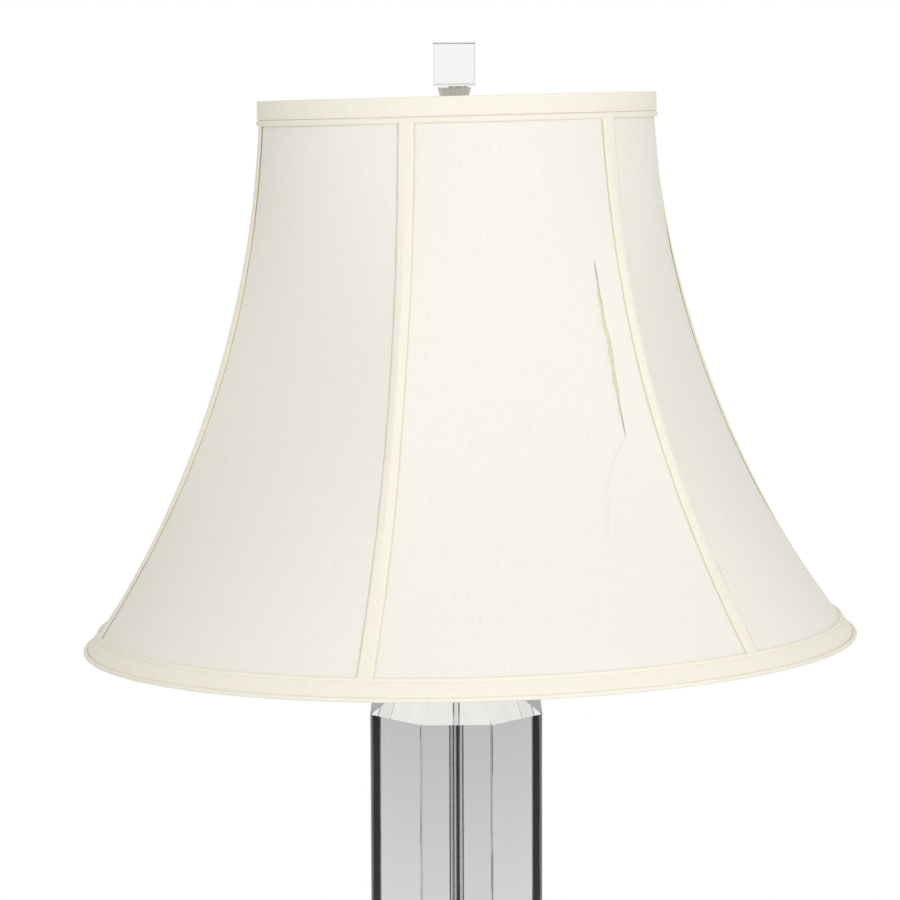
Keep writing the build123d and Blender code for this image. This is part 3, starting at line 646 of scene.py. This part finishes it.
print("shade: rib bend", round(RIB_BEND, 4), "panel width", round(panel_width(0, 0), 4), "m at the bottom")

# %% [markdown]
# A few helpers serve every soft piece. One turns a bmesh into an object that sits at the origin, rides
# on its part of the lamp and stands for the plain solid that holds its place. Two write the UV map in
# metres of cloth, for flat grids and for pieces that go round the shade. One leans a sheet with the
# shade, and one gives the small unevenness of hand work.


# %% Helpers for soft pieces
def soft_piece(mesh_in_work, name, cloth, nodes, body="shade", thick=0.0, sharp=None):
    """Make a finished object from a bmesh, ride it on its body and hide the solids that it stands for."""
    for face in mesh_in_work.faces:
        face.smooth = True
    mesh = bpy.data.meshes.new(name)
    mesh_in_work.to_mesh(mesh)
    mesh_in_work.free()
    mesh.materials.append(cloth)
    if sharp:
        mesh.set_sharp_from_angle(angle=math.radians(sharp))
    piece = bpy.data.objects.new(name, mesh)
    scene.collection.objects.link(piece)
    if thick:
        wall = piece.modifiers.new("wall", "SOLIDIFY")
        wall.thickness = thick
        wall.offset = -1
    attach(piece, body)
    if nodes:
        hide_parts(*nodes)
    return piece


def woven_grid(columns, rows, wide, tall, start=0.0):
    """A flat grid from -0.5 to 0.5 both ways, with the weave's UV map of a wide and tall cloth."""
    sheet = bmesh.new()
    layer = sheet.loops.layers.uv.new("weave")
    bmesh.ops.create_grid(sheet, x_segments=columns, y_segments=rows, size=0.5)
    for face in sheet.faces:
        for loop in face.loops:
            loop[layer].uv = ((loop.vert.co.x + start) * wide, (loop.vert.co.y + start) * tall)
    return sheet


def lean(sheet):
    """Lean a sheet with the shade and make its faces look outwards."""
    bmesh.ops.transform(sheet, matrix=LEAN, verts=sheet.verts)
    bmesh.ops.recalc_face_normals(sheet, faces=sheet.faces)


def ring_map(mesh_in_work, radius):
    """Write the weave's UV map round the shade's axis: distance round, and distance up or in."""
    layer = mesh_in_work.loops.layers.uv.new("weave")
    for face in mesh_in_work.faces:
        middle = face.calc_center_median()
        base = math.atan2(middle.y, middle.x)
        for loop in face.loops:
            place = loop.vert.co
            beside = math.remainder(math.atan2(place.y, place.x) - base, math.tau)
            loop[layer].uv = ((base + beside) * radius, place.z - math.hypot(place.x, place.y))


def pucker(angle, phase):
    """The small unevenness of a sewn edge, from -1 to 1, the same after a full turn."""
    waves = ((29, 0.40, 0.0), (47, 0.35, 1.3), (83, 0.25, 2.1))
    return sum(size * math.sin(turns * angle + shift + phase) for turns, size, shift in waves)


print("helpers for soft pieces ready")

# %% [markdown]
# A panel starts as a flat grid, with one side for the share across and the other for the height, and
# is then moved point by point onto the bell. A Solidify modifier gives it the thickness of cloth on
# its stiff backing.

# %% Panels
PANEL_THICK = 0.001
EDGE_FOLD = 0.0015
PANEL_FOOT = EDGE_FOLD
PANEL_TOP = SHADE_HEIGHT - EDGE_FOLD
PANEL_COLUMNS = 48
PANEL_ROWS = 64
SEAM_SHARE = 0.0017


def flat_panel(columns, rows):
    """A grid from 0 to 1 across, and from the panel's foot to its top."""
    sheet = bmesh.new()
    bmesh.ops.create_grid(sheet, x_segments=columns, y_segments=rows, size=0.5)
    bmesh.ops.translate(sheet, vec=(0.5, 0.5, 0), verts=sheet.verts)
    bmesh.ops.scale(sheet, vec=(1, PANEL_TOP - PANEL_FOOT, 1), verts=sheet.verts)
    bmesh.ops.translate(sheet, vec=(0, PANEL_FOOT, 0), verts=sheet.verts)
    return sheet


def hang_panel(sheet, number):
    """Write the weave's map from the flat grid, then move the grid onto the bell and lean it."""
    layer = sheet.loops.layers.uv.new("weave")
    for face in sheet.faces:
        for loop in face.loops:
            across, height = loop.vert.co.xy
            loop[layer].uv = ((across - 0.5) * panel_width(number, height), height)
    for vert in sheet.verts:
        across, height, lift = vert.co
        inside_seam = SEAM_SHARE + (1 - 2 * SEAM_SHARE) * across
        vert.co = panel_point(number, inside_seam, height, 0.0, lift)
    lean(sheet)
    return sum(face.calc_area() for face in sheet.faces)


for number in range(1, RIB_COUNT):
    sheet = flat_panel(PANEL_COLUMNS, PANEL_ROWS)
    hang_panel(sheet, number)
    name = f"panel_{number + 1}"
    soft_piece(sheet, f"cloth_{name}", panel_cloth, [name],
                                thick=PANEL_THICK)

# %% [markdown]
# The front panel has been torn: a long slit beside the right-hand rib, and a crease that runs on down
# from its lower end. The grid's nearest column is drawn onto the slit's line, the cells near it are
# divided more finely, and its edges are split, which leaves two ragged lips. Both lips have sunk in,
# so the tear looks like a soft valley. The crease is a step in the cloth that fades away on both sides.

# %% The torn front panel
TORN_PANEL = 0
TORN_COLUMNS = 96
TORN_ROWS = 130
FINE_REACH = 0.005
FINE_CUTS = 5
SLIT = ((0.849, 0.129), (0.854, 0.143), (0.860, 0.158), (0.869, 0.178), (0.861, 0.194), (0.857, 0.228))
SLIT_REACH = 0.07
SLIT_NEAR = 0.0008
SLIT_GAP = 0.0026
SLIT_TAPER = 0.7
RAGGED = ((0.16, 410, 1), (0.08, 1170, 2))
LIP_SINK = 0.0007
LIP_REACH = 0.0026
CREASE = ((0.848, 0.129), (0.822, 0.125), (0.782, 0.118), (0.735, 0.106), (0.712, 0.099), (0.714, 0.093),
          (0.706, 0.088), (0.681, 0.078))
CREASE_STEP = 0.0008
CREASE_WIDTH = 0.0006


def slit_across(height):
    """Where the slit's line lies across the panel at a height."""
    for (low, foot), (high, top) in zip(SLIT, SLIT[1:]):
        if height <= top:
            return low + (high - low) * max(0.0, (height - foot) / (top - foot))
    return SLIT[-1][0]


def slit_open(height, side=0.0):
    """How far a lip of the slit stands back at a height, from 0 at the slit's ends to about 1."""
    share = (height - SLIT[0][1]) / (SLIT[-1][1] - SLIT[0][1])
    ragged = 1 + sum(size * math.sin(height * pitch + times * side) for size, pitch, times in RAGGED)
    return math.sin(math.pi * share) ** SLIT_TAPER * ragged if 0 < share < 1 else 0.0


def crease_away(across, height, width):
    """Distance from the crease, and on which side of it."""
    place = Vector((across * width, height))
    nearest = (1.0, 1.0)
    for (from_across, from_height), (to_across, to_height) in zip(CREASE, CREASE[1:]):
        start = Vector((from_across * width, from_height))
        run = Vector((to_across * width, to_height)) - start
        share = min(1.0, max(0.0, (place - start).dot(run) / run.length_squared))
        away = place - start - share * run
        if away.length < nearest[0]:
            nearest = (away.length, math.copysign(1.0, run.x * away.y - run.y * away.x))
    return nearest


def near_tear(vert):
    """Whether a point of the flat grid lies near the slit or the crease."""
    across, height = vert.co.xy
    width = panel_width(TORN_PANEL, height)
    by_slit = slit_open(height) > 0 and abs(across - slit_across(height)) * width < FINE_REACH
    return by_slit or crease_away(across, height, width)[0] < FINE_REACH


sheet = flat_panel(TORN_COLUMNS, TORN_ROWS)
slit_column = round(slit_across(SHADE_HEIGHT / 2) * TORN_COLUMNS) / TORN_COLUMNS
for vert in sheet.verts:
    pull = max(0.0, 1 - abs(vert.co.x - slit_column) / SLIT_REACH)
    vert.co.x += pull * (slit_across(vert.co.y) - slit_column)
fine = [edge for edge in sheet.edges if any(near_tear(vert) for vert in edge.verts)]
bmesh.ops.subdivide_edges(sheet, edges=fine, cuts=FINE_CUTS, use_grid_fill=True)
on_slit = {vert for vert in sheet.verts if abs(vert.co.x - slit_across(vert.co.y)) < SLIT_NEAR}
cut = [edge for edge in sheet.edges if all(vert in on_slit for vert in edge.verts)
       and all(SLIT[0][1] <= vert.co.y <= SLIT[-1][1] for vert in edge.verts)]
bmesh.ops.split_edges(sheet, edges=cut)
moved = []
for vert in sheet.verts:
    across, height = vert.co.xy
    width = panel_width(TORN_PANEL, height)
    beside = sum(face.calc_center_median().x for face in vert.link_faces) / len(vert.link_faces)
    side = math.copysign(1.0, beside - slit_across(height))
    away = abs(across - slit_across(height)) * width / LIP_REACH
    gape = slit_open(height, side) * math.exp(-away ** 2)
    away, step_side = crease_away(across, height, width)
    reach = away / CREASE_WIDTH
    step = CREASE_STEP * step_side * reach * math.exp(0.5 - reach ** 2 / 2)
    moved.append((vert, side * gape * SLIT_GAP / 2 / width, step - LIP_SINK * gape))
for vert, sideways, outwards in moved:
    vert.co.x += sideways
    vert.co.z = outwards
hang_panel(sheet, TORN_PANEL)
soft_piece(sheet, "cloth_panel_1", panel_cloth, ["panel_1"],
                                thick=PANEL_THICK)

# %% [markdown]
# The stiff backing behind the torn cloth is whole, and the slit shows it. Its colour is yellowed, and
# painted darker as painted shade inside the slit. Only the strip under the slit is made, because the
# cloth hides the rest.

# %% Backing under the slit
BACKING_WIDTH = 0.010
BACKING_DEPTH = 0.0016
BACKING_THICK = 0.0005
BACKING_COLUMNS = 4
BACKING_ROWS = 40
# Yellowed, and painted darker as painted shade inside the slit.
YELLOWED_AND_SHADED = seen(230, 227, 203), seen(223, 219, 193)

backing_cloth = woven_cloth("yellowed_shaded_backing", *YELLOWED_AND_SHADED, 0.0005, 0.0, 0.00003, 0.0)
slit_length = SLIT[-1][1] - SLIT[0][1]
strip = woven_grid(BACKING_COLUMNS, BACKING_ROWS, BACKING_WIDTH, slit_length)
for vert in strip.verts:
    height = SLIT[0][1] + slit_length * (vert.co.y + 0.5)
    across = slit_across(height) + vert.co.x * BACKING_WIDTH / panel_width(TORN_PANEL, height)
    vert.co = panel_point(TORN_PANEL, across, height, 0.0, -BACKING_DEPTH)
lean(strip)
backing = soft_piece(strip, "backing_panel_1", backing_cloth, [], thick=BACKING_THICK)
print("backing strip:", BACKING_WIDTH, "m wide")

# %% [markdown]
# Bias tape covers the seam along each rib. It is a strip with both edges folded under, so it is a
# little thicker than the cloth round it and has a soft ridge near each edge. The strip is a grid
# whose points are placed across the rib's corner and up along the rib. The two front tapes were glued
# by hand a little off the rib, by one distance at the foot and another at the top.

# %% Rib tapes
TAPE_EDGE = 0.0005
TAPE_CROWN = 0.0013
TAPE_COLUMNS = 16
TAPE_ROWS = 150
TAPE_WALL = 0.0005
TAPE_WANDER = 0.00018
FOLD_HEIGHT = 0.00016
FOLD_PLACE = 0.72
FOLD_WIDTH = 0.16
CROWN_SHARE = 0.8
TAPE_DRIFT = ((0.0018, 0.0), (0.0008, 0.0016))
TOP_BAND = 0.011
TOP_WELT = 0.0037
BOTTOM_BAND = 0.010
UPPER_WELT = 0.0025
WELT_COVER = 0.6
TAPE_FOOT = BOTTOM_BAND + UPPER_WELT / 4
TAPE_TOP = SHADE_HEIGHT - TOP_BAND - TOP_WELT * WELT_COVER


def tape_height(across):
    """Height of the tape above the cloth, from -1 at one edge to 1 at the other."""
    fold = FOLD_HEIGHT * math.exp(-((abs(across) - FOLD_PLACE) / FOLD_WIDTH) ** 2)
    return TAPE_EDGE + (TAPE_CROWN - TAPE_EDGE) * (1 - across ** 4) * CROWN_SHARE + fold


def tape_point(number, across, height):
    """A point of a rib's tape, which is folded over the corner between two panels."""
    half = GORES[number if across > 0 else number - 1] / 2
    radius = rib_radius(height)
    drawn_in = (1 - PANEL_BOW) * math.sin(math.pi * height / SHADE_HEIGHT) ** 2
    bulge = radius * (1 - math.cos(half)) * (1 - drawn_in)
    fold = half - 2 * math.atan2(bulge, radius * math.sin(half))
    wander = TAPE_WANDER * pucker(height / SHADE_HEIGHT * 2.0 + across, number)
    at_foot, at_top = TAPE_DRIFT[number] if number < len(TAPE_DRIFT) else (0.0, 0.0)
    low_share = max(0.0, 1 - 2 * height / SHADE_HEIGHT)
    high_share = max(0.0, 2 * height / SHADE_HEIGHT - 1)
    drift = at_foot * low_share + at_top * high_share
    side = across * (TAPE_WIDTH / 2 * math.cos(fold) + wander * abs(across)) + drift
    out = radius + SEAT - abs(across) * TAPE_WIDTH / 2 * math.sin(fold) + tape_height(across)
    angle = rib_angle(number, height)
    return Vector((out * math.cos(angle) - side * math.sin(angle),
                   out * math.sin(angle) + side * math.cos(angle), height))


for number in range(RIB_COUNT):
    strip = woven_grid(TAPE_COLUMNS, TAPE_ROWS, TAPE_WIDTH, SHADE_HEIGHT)
    for vert in strip.verts:
        height = TAPE_FOOT + (TAPE_TOP - TAPE_FOOT) * (vert.co.y + 0.5)
        vert.co = tape_point(number, 2 * vert.co.x, height)
    lean(strip)
    name = f"rib_tape_{number + 1}"
    soft_piece(strip, f"bias_{name}", tape_cloth, [name], thick=TAPE_WALL)

# %% [markdown]
# Bands finish the two rings, with thin cords of covered piping along their edges. Each is a small
# outline that is spun once round the shade's axis. A spin repeats the outline in equal steps and, with
# merging on, joins the last step to the first. The sewn bands then get a slight pucker, so that they
# don't look turned on a lathe.

# %% Bands and piping
TRIM_THICK = 0.0015
LOWER_WELT = 0.0026
RING_WIRE = 0.0034
RING_INSET = PANEL_THICK + SEAT + RING_WIRE / 2
BAND_STEPS = 360
PUCKER = 0.00014
WELT_SUNK = 0.0013
WELT_PRESSED = 0.0005
CORD_SIDES = 14
TOP_ROUND = 0.0006
BOTTOM_ROUND = 0.0003
MERGE_NEAR = 0.00001


def spun(outline):
    """Spin a bmesh outline once round the shade's axis and close it."""
    edges = outline.edges[:]
    bmesh.ops.spin(outline, geom=outline.verts[:] + edges, cent=(0, 0, 0), axis=(0, 0, 1), angle=math.tau,
                   steps=BAND_STEPS, use_merge=True)
    bmesh.ops.remove_doubles(outline, verts=outline.verts, dist=MERGE_NEAR)
    bmesh.ops.recalc_face_normals(outline, faces=outline.faces)
    return outline


def band(name, corners, rounds, phase):
    """A sewn band from the corners of its section, with its corners rounded."""
    section = bmesh.new()
    verts = [section.verts.new((radius, 0, height)) for radius, height in corners]
    section.faces.new(verts)
    bmesh.ops.bevel(section, geom=section.verts[:], offset=rounds, segments=4, profile=0.5,
                    affect="VERTICES", material=-1)
    bmesh.ops.delete(section, geom=section.faces[:], context="FACES_ONLY")
    ring = spun(section)
    for vert in ring.verts:
        angle = math.atan2(vert.co.y, vert.co.x)
        radius = math.hypot(vert.co.x, vert.co.y)
        vert.co.xy *= 1 + PUCKER * pucker(angle, phase) / radius
    ring_map(ring, corners[0][0])
    bmesh.ops.transform(ring, matrix=LEAN, verts=ring.verts)
    return soft_piece(ring, f"sewn_{name}", trim_cloth, [name])


def piping(name, radius, height, across, half_round=False):
    """A covered cord round the shade, whole or with its inner half cut away."""
    section = bmesh.new()
    bmesh.ops.create_circle(section, segments=CORD_SIDES, radius=across / 2)
    bmesh.ops.rotate(section, matrix=Matrix.Rotation(math.pi / 2, 3, "X"), verts=section.verts)
    if half_round:
        bmesh.ops.bisect_plane(section, geom=section.verts[:] + section.edges[:], plane_co=(0, 0, 0),
                               plane_no=(-1, 0, 0), clear_outer=True)
    bmesh.ops.translate(section, vec=(radius, 0, height), verts=section.verts)
    ring = spun(section)
    ring_map(ring, radius)
    bmesh.ops.transform(ring, matrix=LEAN, verts=ring.verts)
    return soft_piece(ring, f"piping_{name}", trim_cloth, [name])


top_inside = rib_radius(SHADE_HEIGHT - TOP_BAND) + SEAT
ring_inside = rib_radius(PANEL_TOP - RING_WIRE / 2, RING_INSET) - RING_WIRE / 2
top_under = PANEL_TOP + SEAT / 2
top_foot = SHADE_HEIGHT - TOP_BAND
top_band = band("top_trim", ((top_inside + TRIM_THICK, top_foot), (top_inside + TRIM_THICK, SHADE_HEIGHT),
                             (ring_inside, SHADE_HEIGHT), (ring_inside, top_under),
                             (top_inside, top_under), (top_inside, top_foot)), TOP_ROUND, phase=0.0)
welt_foot = SHADE_HEIGHT - TOP_BAND - TOP_WELT
top_welt = piping("top_welt", rib_radius(welt_foot) + SEAT, welt_foot + TOP_WELT / 2, TOP_WELT,
                  half_round=True)

band_foot = LOWER_WELT + SEAT
low = rib_radius(band_foot) + SEAT + TRIM_THICK
high = rib_radius(BOTTOM_BAND) + SEAT
low_ring_level = PANEL_FOOT + RING_WIRE / 2 + SEAT
low_ring_inside = rib_radius(low_ring_level, RING_INSET) - RING_WIRE / 2
low_under = PANEL_FOOT - SEAT / 2
bottom_band = band("bottom_trim", ((low_ring_inside, 0), (low, 0), (low, band_foot),
                                   (high + TRIM_THICK, BOTTOM_BAND), (high, BOTTOM_BAND),
                                   (rib_radius(PANEL_FOOT) + SEAT, low_under),
                                   (low_ring_inside, low_under)), BOTTOM_ROUND, phase=2.0)
lower_welt = piping("lower_welt", low + LOWER_WELT / 2, LOWER_WELT / 2, LOWER_WELT)
upper_welt = piping("upper_welt", high + UPPER_WELT / 2 - WELT_SUNK,
                    BOTTOM_BAND + UPPER_WELT / 2 - WELT_PRESSED, UPPER_WELT)
print("bands and piping: 5 rings,", BAND_STEPS, "steps each")

# %% [markdown]
# Inside the ribs hangs a thin lining, which hides the wires from below. It is one tube of cloth: a single
# grid goes round all six panels, and its first and last columns are merged.

# %% Lining
RIB_WIRE = 0.0024
LINING_INSET = PANEL_THICK + SEAT + RIB_WIRE + SEAT
LINING_THICK = 0.0006
LINING_COLUMNS = 24
LINING_ROWS = 48
LINING_JOIN = 0.0001
ROUNDING = 1e-6
lining_foot = low_ring_level + RING_WIRE / 2 + SEAT
lining_top = PANEL_TOP - RING_WIRE - SEAT

tube = woven_grid(LINING_COLUMNS * RIB_COUNT, LINING_ROWS, math.tau * TOP_RADIUS, SHADE_HEIGHT, start=0.5)
for vert in tube.verts:
    round_way = (vert.co.x + 0.5) * RIB_COUNT
    number = min(RIB_COUNT - 1, int(round_way + ROUNDING))
    height = lining_foot + (lining_top - lining_foot) * (vert.co.y + 0.5)
    vert.co = panel_point(number, round_way - number, height, LINING_INSET)
bmesh.ops.remove_doubles(tube, verts=tube.verts, dist=LINING_JOIN)
bmesh.ops.recalc_face_normals(tube, faces=tube.faces)
lining_area = sum(face.calc_area() for face in tube.faces)
bmesh.ops.transform(tube, matrix=LEAN, verts=tube.verts)
lining = soft_piece(tube, "cloth_lining", lining_cloth, ["lining"], thick=LINING_THICK)
print("lining:", round(lining_area, 4), "square metres")

# %% [markdown]
# A felt pad under the foot keeps the metal off the table. It is an eight-sided disc with a soft edge.
# Its foot stays flat, because the lamp stands on it.

# %% Felt pad
pad_low, pad_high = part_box("felt_pad")
PAD_SIDES = 8
PAD_EDGE = 0.0004
pad_across = pad_high.x - pad_low.x
pad_corner = pad_across / 2 / math.cos(math.pi / PAD_SIDES)

pad = bmesh.new()
bmesh.ops.create_circle(pad, cap_ends=True, segments=PAD_SIDES, radius=pad_corner)
bmesh.ops.rotate(pad, matrix=Matrix.Rotation(math.pi / PAD_SIDES, 3, "Z"), verts=pad.verts)
top = bmesh.ops.extrude_face_region(pad, geom=pad.faces[:])["geom"]
bmesh.ops.translate(pad, vec=(0, 0, pad_high.z - pad_low.z),
                    verts=[item for item in top if isinstance(item, bmesh.types.BMVert)])
bmesh.ops.recalc_face_normals(pad, faces=pad.faces)
bmesh.ops.bevel(pad, geom=pad.edges[:], offset=PAD_EDGE, segments=3, profile=0.5, affect="EDGES",
                material=-1)
felt_pad = soft_piece(pad, "felt_under_foot", felt_finish, ["felt_pad"], body="stand", sharp=40)
print("felt pad:", round(pad_across, 4), "m across")
